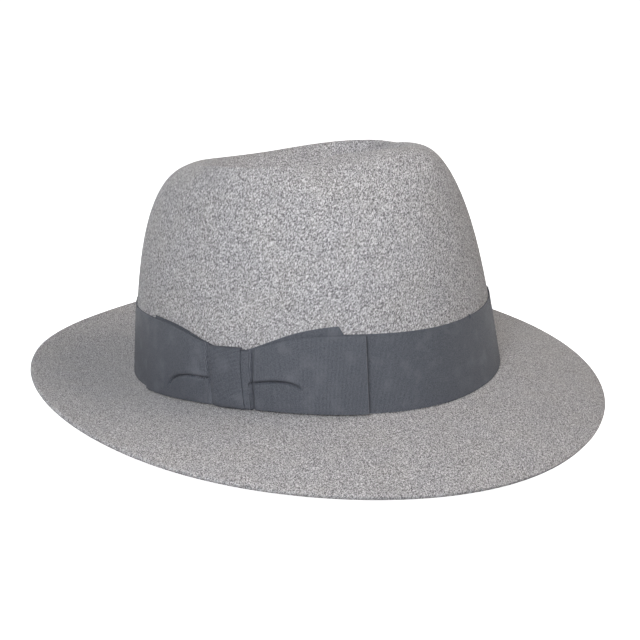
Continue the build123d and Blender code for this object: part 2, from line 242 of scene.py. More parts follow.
def brim_point(angle, share, depth):
    """A point of the brim: share 0 at the crown's foot and 1 at the rim, depth below its top."""
    foot = wave(angle, FOOT_HEIGHT)
    climb = wave(angle, RIM_HEIGHT) - foot
    width = wave(angle, BRIM_WIDTH)
    height = foot + climb * share * (1 - BRIM_CURL + BRIM_CURL * share)
    slope = climb / width * (1 - BRIM_CURL + 2 * BRIM_CURL * share)
    length = np.sqrt(1 + slope * slope)
    radius = foot_radius(angle) + width * share
    return radius + depth * slope / length, height - depth / length


def in_space(angle, point):
    """Radius and height at an angle, as a point in space."""
    radius, height = point
    angle = np.broadcast_to(angle, np.shape(radius))
    return np.stack([radius * np.sin(angle), CROWN_BACK - radius * np.cos(angle), height], axis=-1)


def on_wall(angle, rise, inset):
    """Points in space on the crown's wall, for arrays of angles, rises and insets."""
    angle, rise, inset = np.broadcast_arrays(angle, rise, inset)
    return in_space(angle, wall_point(angle, rise, inset))


def round_angles():
    return np.arange(STEPS_ROUND)[None, :] * 2 * np.pi / STEPS_ROUND - np.pi


# ---- Meshes ----
def new_object(name, vertices, faces, uvs=None, lap=None):
    """A smooth mesh. Where the cloth coordinates run all round the hat, lap is their whole length."""
    mesh = bpy.data.meshes.new(name)
    mesh.from_pydata([tuple(v) for v in vertices], [], [tuple(f) for f in faces])
    mesh.update()
    mesh.polygons.foreach_set("use_smooth", np.ones(len(mesh.polygons), dtype=bool))
    mesh.set_sharp_from_angle(angle=SHARP_EDGE)
    if uvs is not None:
        layer = mesh.uv_layers.new(name="cloth")
        corners = np.empty(len(mesh.loops), dtype=np.int32)
        mesh.loops.foreach_get("vertex_index", corners)
        spots = np.asarray(uvs, dtype=np.float32)[corners]
        if lap:
            quads = spots.reshape(-1, 4, 2)
            crossing = np.ptp(quads[:, :, 0], axis=1) > lap / 2
            quads[crossing, :, 0] += np.where(quads[crossing, :, 0] < lap / 2, lap, 0)
        layer.data.foreach_set("uv", spots.ravel())
    piece = bpy.data.objects.new(name, mesh)
    bpy.context.scene.collection.objects.link(piece)
    return piece


def grid_faces(rows, columns, closed_round, closed_profile=False):
    faces = []
    for row in range(rows if closed_profile else rows - 1):
        for column in range(columns if closed_round else columns - 1):
            here, beside = row * columns + column, row * columns + (column + 1) % columns
            above = (row + 1) % rows * columns + column
            above_beside = (row + 1) % rows * columns + (column + 1) % columns
            faces.append((here, beside, above_beside, above))
    return faces


def lengths_along(points):
    steps = np.linalg.norm(np.diff(points, axis=0), axis=1)
    return np.concatenate([[0], np.cumsum(steps)])


def cloth_coordinates(grid):
    """Cloth coordinates in metres: along the row through the middle, and up the middle column."""
    rows, columns = grid.shape[:2]
    along = lengths_along(grid[rows // 2])
    up = lengths_along(grid[:, columns // 2])
    return np.stack(np.meshgrid(along, up), axis=-1).reshape(-1, 2)


def ring_piece(name, loop):
    """A ring whose section is a closed loop of points: rows run round the section."""
    rows, columns = loop.shape[:2]
    faces = grid_faces(rows, columns, closed_round=True, closed_profile=True)
    return new_object(name, loop.reshape(-1, 3), faces)


def sheet_piece(name, front, back, closed_round=False):
    """A thin closed layer between a front and a back grid of the same size."""
    rows, columns = front.shape[:2]
    count = rows * columns
    faces = grid_faces(rows, columns, closed_round)
    faces += [tuple(count + corner for corner in reversed(face)) for face in faces]
    spans = columns if closed_round else columns - 1
    last = (rows - 1) * columns
    for column in range(spans):
        beside = (column + 1) % columns
        faces.append((beside, column, count + column, count + beside))
        faces.append((last + column, last + beside, count + last + beside, count + last + column))
    if not closed_round:
        end = columns - 1
        for here in range(0, last, columns):
            above = here + columns
            faces.append((here, above, count + above, count + here))
            faces.append((above + end, here + end, count + here + end, count + above + end))
    spots = cloth_coordinates(front)
    lap = None
    if closed_round:
        lap = spots[:, 0].max() * columns / (columns - 1)
    vertices = np.concatenate([front.reshape(-1, 3), back.reshape(-1, 3)])
    return new_object(name, vertices, faces, np.concatenate([spots, spots]), lap)


def thick_sheet(name, middle, thickness, closed_round=False):
    """A sheet built both ways from its middle surface."""
    along = np.roll(middle, -1, 1) - np.roll(middle, 1, 1) if closed_round else np.gradient(middle, axis=1)
    normal = np.cross(along, np.gradient(middle, axis=0))
    normal /= np.maximum(np.linalg.norm(normal, axis=-1, keepdims=True), 1e-9)
    return sheet_piece(name, middle + normal * thickness / 2, middle - normal * thickness / 2, closed_round)


def tubes(name, paths, radius, sides=8):
    """Threads: a round tube with pointed ends along each path of points, all in one mesh."""
    vertices, faces = [], []
    turns = np.arange(sides) * 2 * np.pi / sides
    for path in paths:
        tangent = np.gradient(path, axis=0)
        tangent /= np.linalg.norm(tangent, axis=1, keepdims=True)
        reference = np.array([0.0, 0.0, 1.0]) if abs(tangent[0, 2]) < 0.8 else np.array([1.0, 0.0, 0.0])
        side = np.cross(tangent, reference)
        side /= np.linalg.norm(side, axis=1, keepdims=True)
        other = np.cross(tangent, side)
        shares = np.linspace(0, 1, len(path))
        radii = radius * np.clip(np.minimum(shares, 1 - shares) / 0.12, 0.25, 1)
        start = len(vertices)
        for point, across, over, size in zip(path, side, other, radii):
            ring = point + size * (np.cos(turns)[:, None] * across + np.sin(turns)[:, None] * over)
            vertices.extend(ring)
        rows = len(path)
        for row in range(rows - 1):
            for corner in range(sides):
                here, beside = row * sides + corner, row * sides + (corner + 1) % sides
                faces.append((start + here, start + here + sides, start + beside + sides, start + beside))
        faces.append(tuple(start + corner for corner in range(sides)))
        faces.append(tuple(start + (rows - 1) * sides + corner for corner in reversed(range(sides))))
    return new_object(name, vertices, faces)


def finish_piece(piece, node, material):
    """Puts a piece in place of a CAD node, or beside the pieces that already stand for it."""
    if node:
        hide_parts(node)
    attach(piece, "root")
    piece.data.materials.append(material)
    return piece


# ---- Materials ----
def shader_node(tree, kind, inputs=None, **settings):
    """A new shader node. An input is either a value or another node's output."""
    node = tree.nodes.new("ShaderNode" + kind)
    for name, value in settings.items():
        setattr(node, name, value)
    for name, value in (inputs or {}).items():
        join(tree, value, node.inputs[name])
    return node


def join(tree, value, socket):
    if isinstance(value, bpy.types.NodeSocket):
        tree.links.new(value, socket)
    else:
        socket.default_value = value


def new_material(name, **constants):
    """A material whose shader has these constant inputs, given with _ for spaces."""
    material = bpy.data.materials.new(name)
    material.use_nodes = True
    shader = material.node_tree.nodes["Principled BSDF"]
    for key, value in constants.items():
        shader.inputs[key.replace("_", " ")].default_value = value
    return material, material.node_tree, shader


def noise(tree, size, stretch=(1, 1, 1), turn=(0, 0, 0), detail=2.0, distortion=0.0, source="Object"):
    """Cloudy noise from 0 to 1 whose features are about size metres across, and longer where stretched."""
    place = shader_node(tree, "TexCoord").outputs[source]
    turned = shader_node(tree, "Mapping", {"Vector": place, "Rotation": turn}).outputs[0]
    shares = tuple(1 / length for length in stretch)
    scaled = shader_node(tree, "Mapping", {"Vector": turned, "Scale": shares}).outputs[0]
    inputs = {"Vector": scaled, "Scale": 1 / size, "Detail": detail, "Distortion": distortion}
    return shader_node(tree, "TexNoise", inputs).outputs[0]


def ribs(tree, pitch, direction="X"):
    """Even ribs across the cloth coordinates, pitch metres apart, from 0 to 1."""
    place = shader_node(tree, "TexCoord").outputs["UV"]
    scale = 2 * np.pi / (20 * pitch)      # the wave texture turns 20 radians for each unit of its scale
    inputs = {"Vector": place, "Scale": scale, "Distortion": 0.0}
    return shader_node(tree, "TexWave", inputs, bands_direction=direction).outputs["Fac"]


def calculate(tree, operation, first, second):
    node = shader_node(tree, "Math", operation=operation)
    join(tree, first, node.inputs[0])
    join(tree, second, node.inputs[1])
    return node.outputs[0]


def level(tree, value, low, high, to_low=0.0, to_high=1.0):
    """A value moved from one range to another, and held inside it."""
    inputs = {"Value": value, "From Min": low, "From Max": high, "To Min": to_low, "To Max": to_high}
    return shader_node(tree, "MapRange", inputs, clamp=True).outputs[0]


def mix(tree, factor, first, second):
    node = shader_node(tree, "Mix", data_type="RGBA")
    join(tree, factor, node.inputs[0])
    join(tree, first, node.inputs[6])
    join(tree, second, node.inputs[7])
    return node.outputs[2]


def bump(tree, height, depth):
    return shader_node(tree, "Bump", {"Height": height, "Distance": depth, "Strength": 1.0}).outputs[0]


def felt_material():
    """Salt-and-pepper wool felt: pale and dark fibres lying in every direction, and a soft nap."""
    material, tree, shader = new_material(
        "wool_felt", Roughness=0.9, Sheen_Weight=0.12, Sheen_Roughness=0.5, Specular_IOR_Level=0.25,
    )
    turns = [(0.3, 0.9, 0.2), (1.3, -0.5, 1.1), (-0.8, 0.4, 2.2), (2.1, 1.2, -0.6)]
    fibres = [noise(tree, 0.5 * MM, (2.6, 1, 1), turn, detail=1.0, distortion=0.6) for turn in turns]
    first = calculate(tree, "ADD", fibres[0], fibres[1])
    second = calculate(tree, "ADD", fibres[2], fibres[3])
    fleck = calculate(tree, "MULTIPLY", calculate(tree, "ADD", first, second), 0.25)
    pale = calculate(tree, "MAXIMUM", fibres[1], fibres[2])
    clouds = noise(tree, 16 * MM, detail=2.0)
    base = mix(tree, level(tree, clouds, 0.35, 0.65), FELT_GREY, FELT_WARM)
    dark = mix(tree, level(tree, fleck, 0.52, 0.42), base, FELT_DARK)
    melange = mix(tree, level(tree, pale, 0.56, 0.70), dark, FELT_PALE)
    join(tree, melange, shader.inputs["Base Color"])
    nap = noise(tree, 0.7 * MM, detail=3.0, distortion=0.4)
    height = calculate(tree, "ADD", calculate(tree, "MULTIPLY", fleck, 1.5), nap)
    join(tree, bump(tree, height, 0.13 * MM), shader.inputs["Normal"])
    return material


def grosgrain_material(name, base, dark):
    """Ribbed ribbon: fine ribs across its length, each a little uneven."""
    material, tree, shader = new_material(
        name, Sheen_Weight=0.04, Sheen_Roughness=0.35, Specular_IOR_Level=0.3,
    )
    rib = ribs(tree, RIB_PITCH)
    threads = noise(tree, 0.42 * MM, detail=2.0)
    wear = noise(tree, 9 * MM, detail=3.0)
    rib_share = calculate(tree, "MULTIPLY", rib, 0.4)
    shade = calculate(tree, "ADD", rib_share, calculate(tree, "MULTIPLY", threads, 1.1))
    colour = mix(tree, level(tree, shade, 0.45, 1.05), dark, base)
    tired = tuple(channel * 1.18 for channel in base[:3]) + (1,)
    worn = mix(tree, level(tree, wear, 0.5, 0.8, 0.0, 0.5), colour, tired)
    join(tree, worn, shader.inputs["Base Color"])
    join(tree, level(tree, threads, 0.3, 0.7, 0.56, 0.70), shader.inputs["Roughness"])
    height = calculate(tree, "ADD", rib, calculate(tree, "MULTIPLY", threads, 0.5))
    join(tree, bump(tree, height, 0.10 * MM), shader.inputs["Normal"])
    return material


def leather_material():
    """Smooth dark brown leather with fine pores and creases, under a thin even coat."""
    material, tree, shader = new_material("brown_leather", Specular_IOR_Level=0.45, Coat_Weight=0.08)
    pores = noise(tree, 0.7 * MM, detail=3.0, distortion=1.2)
    creases = noise(tree, 5 * MM, (1, 1, 3), detail=4.0, distortion=1.5)
    clouds = noise(tree, 25 * MM, detail=3.0)
    colour = mix(tree, level(tree, clouds, 0.3, 0.7), LEATHER_BROWN, LEATHER_TAN)
    aged = mix(tree, level(tree, creases, 0.62, 0.75), colour, LEATHER_DARK)
    join(tree, aged, shader.inputs["Base Color"])
    join(tree, level(tree, pores, 0.3, 0.7, 0.38, 0.55), shader.inputs["Roughness"])
    height = calculate(tree, "ADD", calculate(tree, "MULTIPLY", pores, 0.5), creases)
    join(tree, bump(tree, height, 0.12 * MM), shader.inputs["Normal"])
    return material


def satin_material():
    """Lining satin: a glossy face whose threads run up the crown, with painted sheen as lighter streaks
    along the threads.
    """
    material, tree, shader = new_material(
        "lining_satin", Anisotropic=0.5, Specular_IOR_Level=0.6, Sheen_Weight=0.15,
    )
    threads = noise(tree, 0.25 * MM, (1, 1, 12), detail=2.0)
    clouds = noise(tree, 18 * MM, detail=2.0)
    colour = mix(tree, level(tree, clouds, 0.3, 0.7), SATIN_GREY, SATIN_PALE)
    # painted sheen: the threads' streaks are mixed towards a lighter grey that stands in for the satin's
    # shine
    sheen_painted_colour = mix(tree, level(tree, threads, 0.4, 0.7, 0.0, 0.35), colour, SATIN_PAINTED_SHEEN)
    join(tree, sheen_painted_colour, shader.inputs["Base Color"])
    join(tree, level(tree, threads, 0.3, 0.7, 0.26, 0.4), shader.inputs["Roughness"])
    join(tree, bump(tree, threads, 0.04 * MM), shader.inputs["Normal"])
    return material


def thread_material(name, base, dark):
    """Twisted thread or tape: short fibres over a base colour."""
    material, tree, shader = new_material(name, Roughness=0.75, Sheen_Weight=0.2)
    fibres = noise(tree, 0.3 * MM, (1, 2, 1), detail=3.0)
    join(tree, mix(tree, level(tree, fibres, 0.35, 0.65), dark, base), shader.inputs["Base Color"])
    join(tree, bump(tree, fibres, 0.08 * MM), shader.inputs["Normal"])
    return material


def floor_material():
    """A pale table that glows by itself, so that it shows as nearly white."""
    material, tree, shader = new_material(
        "pale_table", Roughness=0.95, Specular_IOR_Level=0.1,
        Emission_Color=(1, 1, 1, 1), Emission_Strength=0.95,
    )
    grain = noise(tree, 2 * MM, detail=2.0)
    tone = mix(tree, level(tree, grain, 0.3, 0.7), (0.93, 0.93, 0.93, 1), (0.95, 0.95, 0.95, 1))
    join(tree, tone, shader.inputs["Base Color"])
    return material


RIB_PITCH = 0.62 * MM
FELT_GREY = (0.37, 0.355, 0.36, 1)
FELT_WARM = (0.39, 0.37, 0.36, 1)
FELT_DARK = (0.12, 0.112, 0.115, 1)
FELT_PALE = (0.72, 0.70, 0.70, 1)
LEATHER_BROWN = (0.085, 0.042, 0.022, 1)
LEATHER_TAN = (0.14, 0.075, 0.04, 1)
LEATHER_DARK = (0.05, 0.025, 0.014, 1)
SATIN_GREY = (0.20, 0.205, 0.22, 1)
SATIN_PALE = (0.26, 0.265, 0.28, 1)
# painted sheen: the lighter grey of the satin's streaks
SATIN_PAINTED_SHEEN = (0.36, 0.365, 0.38, 1)

felt = felt_material()
grosgrain = grosgrain_material("slate_grosgrain", (0.125, 0.13, 0.148, 1), (0.03, 0.034, 0.045, 1))
trim = grosgrain_material("black_trim", (0.03, 0.03, 0.033, 1), (0.01, 0.01, 0.012, 1))
leather = leather_material()
satin = satin_material()
dark_thread = thread_material("slate_thread", (0.07, 0.08, 0.1, 1), (0.03, 0.035, 0.045, 1))
tan_thread = thread_material("tan_thread", (0.35, 0.24, 0.14, 1), (0.18, 0.11, 0.06, 1))
cotton_tape = thread_material("cotton_tape", (0.16, 0.15, 0.14, 1), (0.07, 0.065, 0.06, 1))
reed_stuff = thread_material("fibre_reed", (0.45, 0.4, 0.3, 1), (0.28, 0.24, 0.17, 1))
piping_cord = thread_material("piping_cord", (0.09, 0.095, 0.105, 1), (0.035, 0.037, 0.042, 1))


# ---- Felt ----
def shell_piece(name, outer, inner, outer_middle, inner_middle):
    """Two bowls of rows, joined along their first rows and each closed by a point at its middle."""
    columns = outer.shape[1]
    outer_count = len(outer) * columns
    vertices = np.concatenate([
        outer.reshape(-1, 3), inner.reshape(-1, 3), [outer_middle], [inner_middle],
    ])
    faces = grid_faces(len(outer), columns, closed_round=True)
    inner_faces = grid_faces(len(inner), columns, closed_round=True)
    faces += [tuple(outer_count + corner for corner in reversed(face)) for face in inner_faces]
    last_outer = outer_count - columns
    last_inner = outer_count + (len(inner) - 1) * columns
    for column in range(columns):
        beside = (column + 1) % columns
        faces.append((outer_count + column, outer_count + beside, beside, column))
        faces.append((last_outer + column, last_outer + beside, len(vertices) - 2))
        faces.append((last_inner + beside, last_inner + column, len(vertices) - 1))
    return new_object(name, vertices, faces)


def felt_hat():
    """Crown and brim in one felt, with a raw-cut edge."""
    angle = round_angles()
    brim_shares = np.linspace(1, 0, BRIM_ROWS)[:, None]
    foot_steps = np.linspace(0, FOOT_PART, FOOT_ROWS)[1:]
    wall_steps = np.concatenate([foot_steps, np.linspace(FOOT_PART, 1, WALL_ROWS)[1:]])
    dent_steps = 1 + np.linspace(0, 1, DENT_ROWS)[1:-1] ** 1.2
    crown_steps = np.concatenate([wall_steps, dent_steps])[:, None]
    depths = RIM_DEPTHS[:, None] * FELT
    bulges = RIM_BULGES[:, None] * FELT
    rim_radius, rim_height = brim_point(angle, np.ones((2, 1)), depths)
    outer = np.concatenate([
        in_space(angle, (rim_radius + bulges, rim_height)),
        in_space(angle, brim_point(angle, brim_shares, 0)),
        in_space(angle, crown_point(angle, crown_steps, 0)),
    ])
    low_radius, low_height = brim_point(angle, np.ones((1, 1)), FELT - RIM_DEPTHS[1] * FELT)
    inner = np.concatenate([
        in_space(angle, (low_radius + RIM_BULGES[1] * FELT, low_height)),
        in_space(angle, brim_point(angle, brim_shares, FELT)),
        in_space(angle, crown_point(angle, crown_steps, FELT)),
    ])
    middle = np.array([0, CROWN_BACK, DENT_FLOOR])
    return shell_piece("felt_hat", outer, inner, middle, middle - np.array([0, 0, FELT]))


hat = finish_piece(felt_hat(), "felt_body", felt)


# ---- Hat ribbon and bow ----
def ribbon_top(angle):
    """Upper edge of the hat ribbon: level, but gathered under the bow's knot."""
    away = (np.degrees(angle) - GATHER_MIDDLE) / GATHER_SPREAD
    return wave(angle, RIBBON_HEIGHT) - GATHER_DEPTH * np.exp(-away ** 2)


def layer_top(layer, angle):
    """Upper edge of a layer of the bow."""
    free_end, knot_rise, end_rise = layer
    share = (np.degrees(angle) - GATHER_MIDDLE) / (free_end - GATHER_MIDDLE)
    return ribbon_top(angle) + knot_rise + (end_rise - knot_rise) * share


def ribbon_band():
    angle = round_angles()
    up = np.linspace(0, 1, 14)[:, None]
    rise = RIBBON_FOOT + (ribbon_top(angle) - RIBBON_FOOT) * up
    stand = 0.12 * MM * up ** 4 * (1 + np.sin(7 * angle + 1) * np.sin(13 * angle))
    middle = on_wall(angle, rise, -GAP - RIBBON / 2 - stand)
    return thick_sheet("ribbon_band", middle, RIBBON, closed_round=True)


def bow_back_strip():
    """The strip behind the loops, cut on a slant at its front end."""
    slant_end = FRONT_BACKING[0] + BACKING_SLANT
    slant = np.linspace(FRONT_BACKING[0], slant_end, 4)[1:]
    angle = np.radians(np.concatenate([np.linspace(REAR_BACKING[0], FRONT_BACKING[0], 60), slant]))
    behind_knot = np.degrees(angle) < GATHER_MIDDLE
    top = np.where(behind_knot, layer_top(REAR_BACKING, angle), layer_top(FRONT_BACKING, angle))
    top -= FRONT_BACKING[2] * np.clip((np.degrees(angle) - FRONT_BACKING[0]) / BACKING_SLANT, 0, 1)
    up = np.linspace(0, 1, 12)[:, None]
    rise = BACKING_FOOT + (top - BACKING_FOOT) * up
    lift = GAP + RIBBON + GAP + RIBBON / 2 + 0.15 * MM * np.sin(9 * angle) ** 2 * up
    return thick_sheet("bow_back_strip", on_wall(angle[None, :], rise, -lift), LOOP_SHEET)


def crease(angle, rise, line):
    """Lift of a sharp crease along a curve: it cuts in below the line and swells above it."""
    arc = CROWN_HALF_WIDTH * radians(1)
    start, middle, end = (np.array([degree * arc, height]) for degree, height in line)
    share = np.linspace(0, 1, 25)[:, None]
    points = start * (1 - share) ** 2 + 2 * middle * share * (1 - share) + end * share ** 2
    spots = np.stack(np.broadcast_arrays(np.degrees(angle) * arc, rise), axis=-1)
    away = spots[..., None, :] - points
    gaps = np.linalg.norm(away, axis=-1)
    nearest = gaps.argmin(axis=-1)
    gap = gaps.min(axis=-1)
    above = np.take_along_axis(away[..., 1], nearest[..., None], axis=-1)[..., 0]
    beside = np.take_along_axis(away[..., 0], nearest[..., None], axis=-1)[..., 0]
    fade = 1 - 0.6 * (nearest / (len(points) - 1)) ** 2
    cut = CREASE_DEPTH * np.exp(-(gap / CREASE_WIDTH) ** 2)
    lip = CREASE_LIP * np.exp(-((above - 2.2 * CREASE_WIDTH) / (3 * CREASE_WIDTH)) ** 2)
    return fade * (lip * np.exp(-(beside / (2 * CREASE_WIDTH)) ** 2) - cut)


def loop_path(knot_end, free_end):
    """Angles along a folded strip from the knot out and back, and each one's layer: 0 behind, 1 in front."""
    back = np.linspace(knot_end, free_end, LOOP_BACK_COLUMNS)
    front = np.linspace(free_end, knot_end, LOOP_FRONT_COLUMNS)
    turn = np.radians(np.linspace(-90, 90, 11)[1:-1])
    bulge = np.sign(free_end - knot_end) * FOLD_BULGE
    degrees_round = np.concatenate([back, free_end + bulge * np.cos(turn), front])
    turning = 0.5 + 0.5 * np.sin(turn)
    fold = np.concatenate([np.zeros(LOOP_BACK_COLUMNS), turning, np.ones(LOOP_FRONT_COLUMNS)])
    return np.radians(degrees_round)[None, :], fold[None, :]


def bow_loop(name, layer, knot_end, tuck_at, crease_line, waves):
    """One folded loop of the bow: flat behind, full in front, and gathered where the knot holds it."""
    free_end = layer[0]
    angle, fold = loop_path(knot_end, free_end)
    up = np.linspace(0, 1, 110)[:, None]
    rise = LOOP_FOOT + (layer_top(layer, angle) - LOOP_FOOT) * up
    share = (np.degrees(angle) - free_end) / (knot_end - free_end)
    pinched = smooth((share - 0.55) / 0.45)
    body = LOOP_LIFT * (0.75 + 0.25 * smooth(share * 2)) * (1 - 0.45 * pinched)
    tuck_line = tuck_at[0] + (tuck_at[1] - tuck_at[0]) * up
    tuck = LOOP_TUCK * np.exp(-((np.degrees(angle) - tuck_line) / TUCK_SPREAD) ** 2)
    puff = LOOP_PUFF * smooth(share * 1.6) * (1 - 0.6 * pinched) * np.sin(np.pi * up) ** 0.7
    gathers = 0.3 * MM * pinched * np.cos(2 * np.pi * (waves * up + 0.1))
    front = body + puff + gathers - tuck + crease(angle, rise, crease_line)
    back_lift = 2 * (GAP + RIBBON) + GAP + LOOP_SHEET / 2
    slack = 0.2 * MM * np.sin(3 * np.pi * share + 2 * up) * fold
    lift = back_lift + fold * np.maximum(front, 0.4 * MM) + slack * (1 - pinched)
    return thick_sheet(name, on_wall(angle, rise, -lift), LOOP_SHEET)


def wrap_strip(name, rear, front, top, lift, edge_drop):
    """A strip wound over the bow; rear and front are its sides in degrees, at the foot and at the top."""
    turn = np.radians(np.linspace(-88, 88, 61))[None, :]
    across = np.linspace(1, -1, 21)[:, None]
    half = (top - WRAP_FOOT) / 2
    swell = np.sign(np.sin(turn)) * np.abs(np.sin(turn)) ** 0.3
    rise = WRAP_FOOT + half + half * swell
    out = np.cos(turn) ** 0.3
    share = rise / top
    side_rear = rear[0] + (rear[1] - rear[0]) * share
    side_front = front[0] + (front[1] - front[0]) * share
    middle, reach = (side_rear + side_front) / 2, (side_front - side_rear) / 2
    waist = 1 - 0.06 * np.sin(np.pi * share)
    degrees_round = middle + reach * across * waist
    sag = 1 - edge_drop * across ** 4
    ripples = 0.12 * MM * np.cos(3 * np.pi * across + 0.8) * np.sin(np.pi * np.clip(share, 0, 1))
    inset = -(WRAP_BASE + (lift - WRAP_BASE) * out * sag + ripples)
    return thick_sheet(name, on_wall(np.radians(degrees_round), rise, inset), LOOP_SHEET)


def ribbon_tacks():
    """Short stitches over the ribbon's upper edge, three strands each."""
    paths = []
    for place in range(TACK_COUNT):
        angle = 2 * np.pi * place / TACK_COUNT - np.pi
        if BOW_REACH[0] < angle < BOW_REACH[1]:
            continue
        for strand in (-1, 0, 1):
            share = np.linspace(0, 1, 9)
            around = angle + (strand * 0.35 * MM + 0.8 * MM * (share - 0.5)) / CROWN_HALF_WIDTH
            rise = ribbon_top(around) + (-1.5 + 2.3 * share) * MM
            resting = np.where(share < 0.65, GAP + RIBBON + 0.1 * MM, 0.25 * MM)
            paths.append(on_wall(around, rise, -resting - np.sin(np.pi * share) * 0.2 * MM))
    return tubes("ribbon_tack_threads", paths, 0.14 * MM, sides=6)


band = finish_piece(ribbon_band(), "hat_ribbon", grosgrain)
back_strip = finish_piece(bow_back_strip(), "bow_backing", grosgrain)
rear_loop = bow_loop("rear_loop_fold", REAR_LOOP, -80, REAR_TUCK, REAR_CREASE, waves=2.5)
finish_piece(rear_loop, "bow_rear_loop", grosgrain)
front_loop = bow_loop("front_loop_fold", FRONT_LOOP, -82, FRONT_TUCK, FRONT_CREASE, waves=3)
finish_piece(front_loop, "bow_front_loop", grosgrain)
under_wrap = wrap_strip("knot_under_wrap", UNDER_REAR, UNDER_FRONT, UNDER_TOP, UNDER_LIFT, edge_drop=0.12)
finish_piece(under_wrap, None, grosgrain)
knot = wrap_strip("knot_wrap", KNOT_REAR, KNOT_FRONT, KNOT_TOP, KNOT_LIFT, edge_drop=0.08)
finish_piece(knot, "bow_knot", grosgrain)
finish_piece(ribbon_tacks(), "ribbon_tacks", dark_thread)


# ---- Sweatband ----
def even_curve(points, count):
    """A smooth line near these points, with its corners cut, as count evenly spaced points."""
    line = np.array(points, dtype=float)
    for _ in range(3):
        near = 0.75 * line[:-1] + 0.25 * line[1:]
        far = 0.25 * line[:-1] + 0.75 * line[1:]
        inside = np.stack([near, far], axis=1).reshape(-1, 2)
        line = np.concatenate([line[:1], inside, line[-1:]])
    length = lengths_along(line)
    places = np.linspace(0, length[-1], count)
    return np.stack([np.interp(places, length, line[:, axis]) for axis in (0, 1)], axis=-1)


LINING_AT = FELT + GAP + LINING / 2            # insets of the middles of the layers inside the felt
LEATHER_AT = FELT + 2 * GAP + LINING + LEATHER / 2
REED_AT = FELT + 2 * GAP + LINING + REED_RADIUS


def sweatband_leather():
    """Leather that rolls under the reed at its foot and leans in a little at its free upper edge."""
    roll = REED_RADIUS + 0.5 * MM
    places = [
        (REED_RISE - 0.7 * roll, REED_AT - 0.7 * roll),
        (REED_RISE - 1.2 * roll, REED_AT),
        (REED_RISE - 0.7 * roll, REED_AT + 0.9 * roll),
        (REED_RISE + 0.9 * roll, REED_AT + roll),
        (3.0 * MM, LEATHER_AT + 0.4 * MM),
        (6.0 * MM, LEATHER_AT),
        (34.0 * MM, LEATHER_AT),
        (SWEATBAND_TOP, LEATHER_AT + 1.2 * MM),
    ]
    curve = even_curve(places, 44)
    angle = round_angles()
    rise, inset = curve[:, :1], curve[:, 1:]
    loose = smooth((rise - LOOSE_FROM) / LOOSE_SPAN)
    ripple = 0.5 * MM * loose * (1 + np.sin(5 * angle + 0.6) * np.cos(8 * angle))
    thickness = np.where(rise < 2 * MM, 0.7, 1.0)[:, :, None] * LEATHER
    middle = on_wall(angle, rise + 0.4 * MM * loose * np.sin(6 * angle), inset + ripple)
    return thick_sheet("sweatband_leather", middle, thickness, closed_round=True)


def inside_ring(name, rise, inset, radius):
    """A round cord along the inside of the hat's foot."""
    turn = (np.arange(10) * 2 * np.pi / 10)[:, None]
    angle = round_angles()
    return ring_piece(name, on_wall(angle, rise + radius * np.sin(turn), inset + radius * np.cos(turn)))


def sweatband_stitches(count=216):
    """A row of short stitches above the reed, each sunk into the leather at its ends."""
    paths = []
    share = np.linspace(-0.5, 0.5, 7)
    surface = LEATHER_AT + LEATHER / 2 + 0.35 * MM
    for place in range(count):
        angle = 2 * np.pi * (place + 0.35 * share * 2) / count
        sunk = 0.35 * MM * (2 * share) ** 2
        paths.append(on_wall(angle, STITCH_RISE + 0.2 * MM * share, surface + 0.12 * MM - sunk))
    return tubes("sweatband_stitches", paths, 0.16 * MM, sides=6)


def foot_tape():
    """The woven tape behind the foot of the sweatband."""
    angle = round_angles()
    rise = np.linspace(SWEATBAND_FOOT, TAPE_TOP, 6)[:, None]
    ripple = 0.04 * MM * np.sin(40 * angle)
    return thick_sheet("foot_tape", on_wall(angle, rise, LINING_AT + ripple), 0.8 * TAPE, closed_round=True)


def back_seam():
    """The ribbon sewn over the sweatband's join at the back."""
    across = np.linspace(-1, 1, 13)[None, :]
    angle = np.pi + across * BACK_SEAM_WIDTH / 2 / CROWN_HALF_LENGTH
    rise = np.linspace(BACK_SEAM_FOOT, BACK_SEAM_TOP, 30)[:, None]
    loose = smooth((rise - LOOSE_FROM) / LOOSE_SPAN)
    crown = 0.2 * MM * (1 - np.abs(across) ** 3)
    inset = LEATHER_AT + LEATHER / 2 + GAP + TAPE + crown + 1.3 * MM * loose
    return thick_sheet("back_seam_ribbon", on_wall(angle, rise, inset), TAPE)


def small_loop(name, side):
    """One loop of the small bow on the back seam: a narrow ribbon folded back on itself."""
    share = np.concatenate([np.linspace(0, 1, 16), np.linspace(1, 0, 16)])[None, :]
    layer = np.concatenate([np.zeros(16), np.ones(16)])[None, :]
    opened = np.sin(np.pi * np.clip(share, 0, 1)) ** 0.8 + 0.25 * smooth(share * 4)
    up = np.linspace(-0.5, 0.5, 9)[:, None]
    height = BACK_BOW_WAIST + BACK_BOW_FLARE * smooth(share * 1.2)
    rise = BACK_BOW_MIDDLE + up * height + 0.5 * MM * share
    reach = BACK_BOW_START + BACK_BOW_REACH * share
    base = LEATHER_AT + LEATHER / 2 + 2 * GAP + 2 * TAPE + 0.3 * MM
    inset = base + 0.25 * MM + layer * (0.5 + 1.5 * opened) * MM + 0.5 * MM * layer * (1 - 4 * up ** 2)
    angle = np.pi + side * reach / CROWN_HALF_LENGTH
    angle, rise = np.broadcast_arrays(angle, rise)
    return thick_sheet(name, on_wall(angle, rise, inset), BACK_BOW_CLOTH)


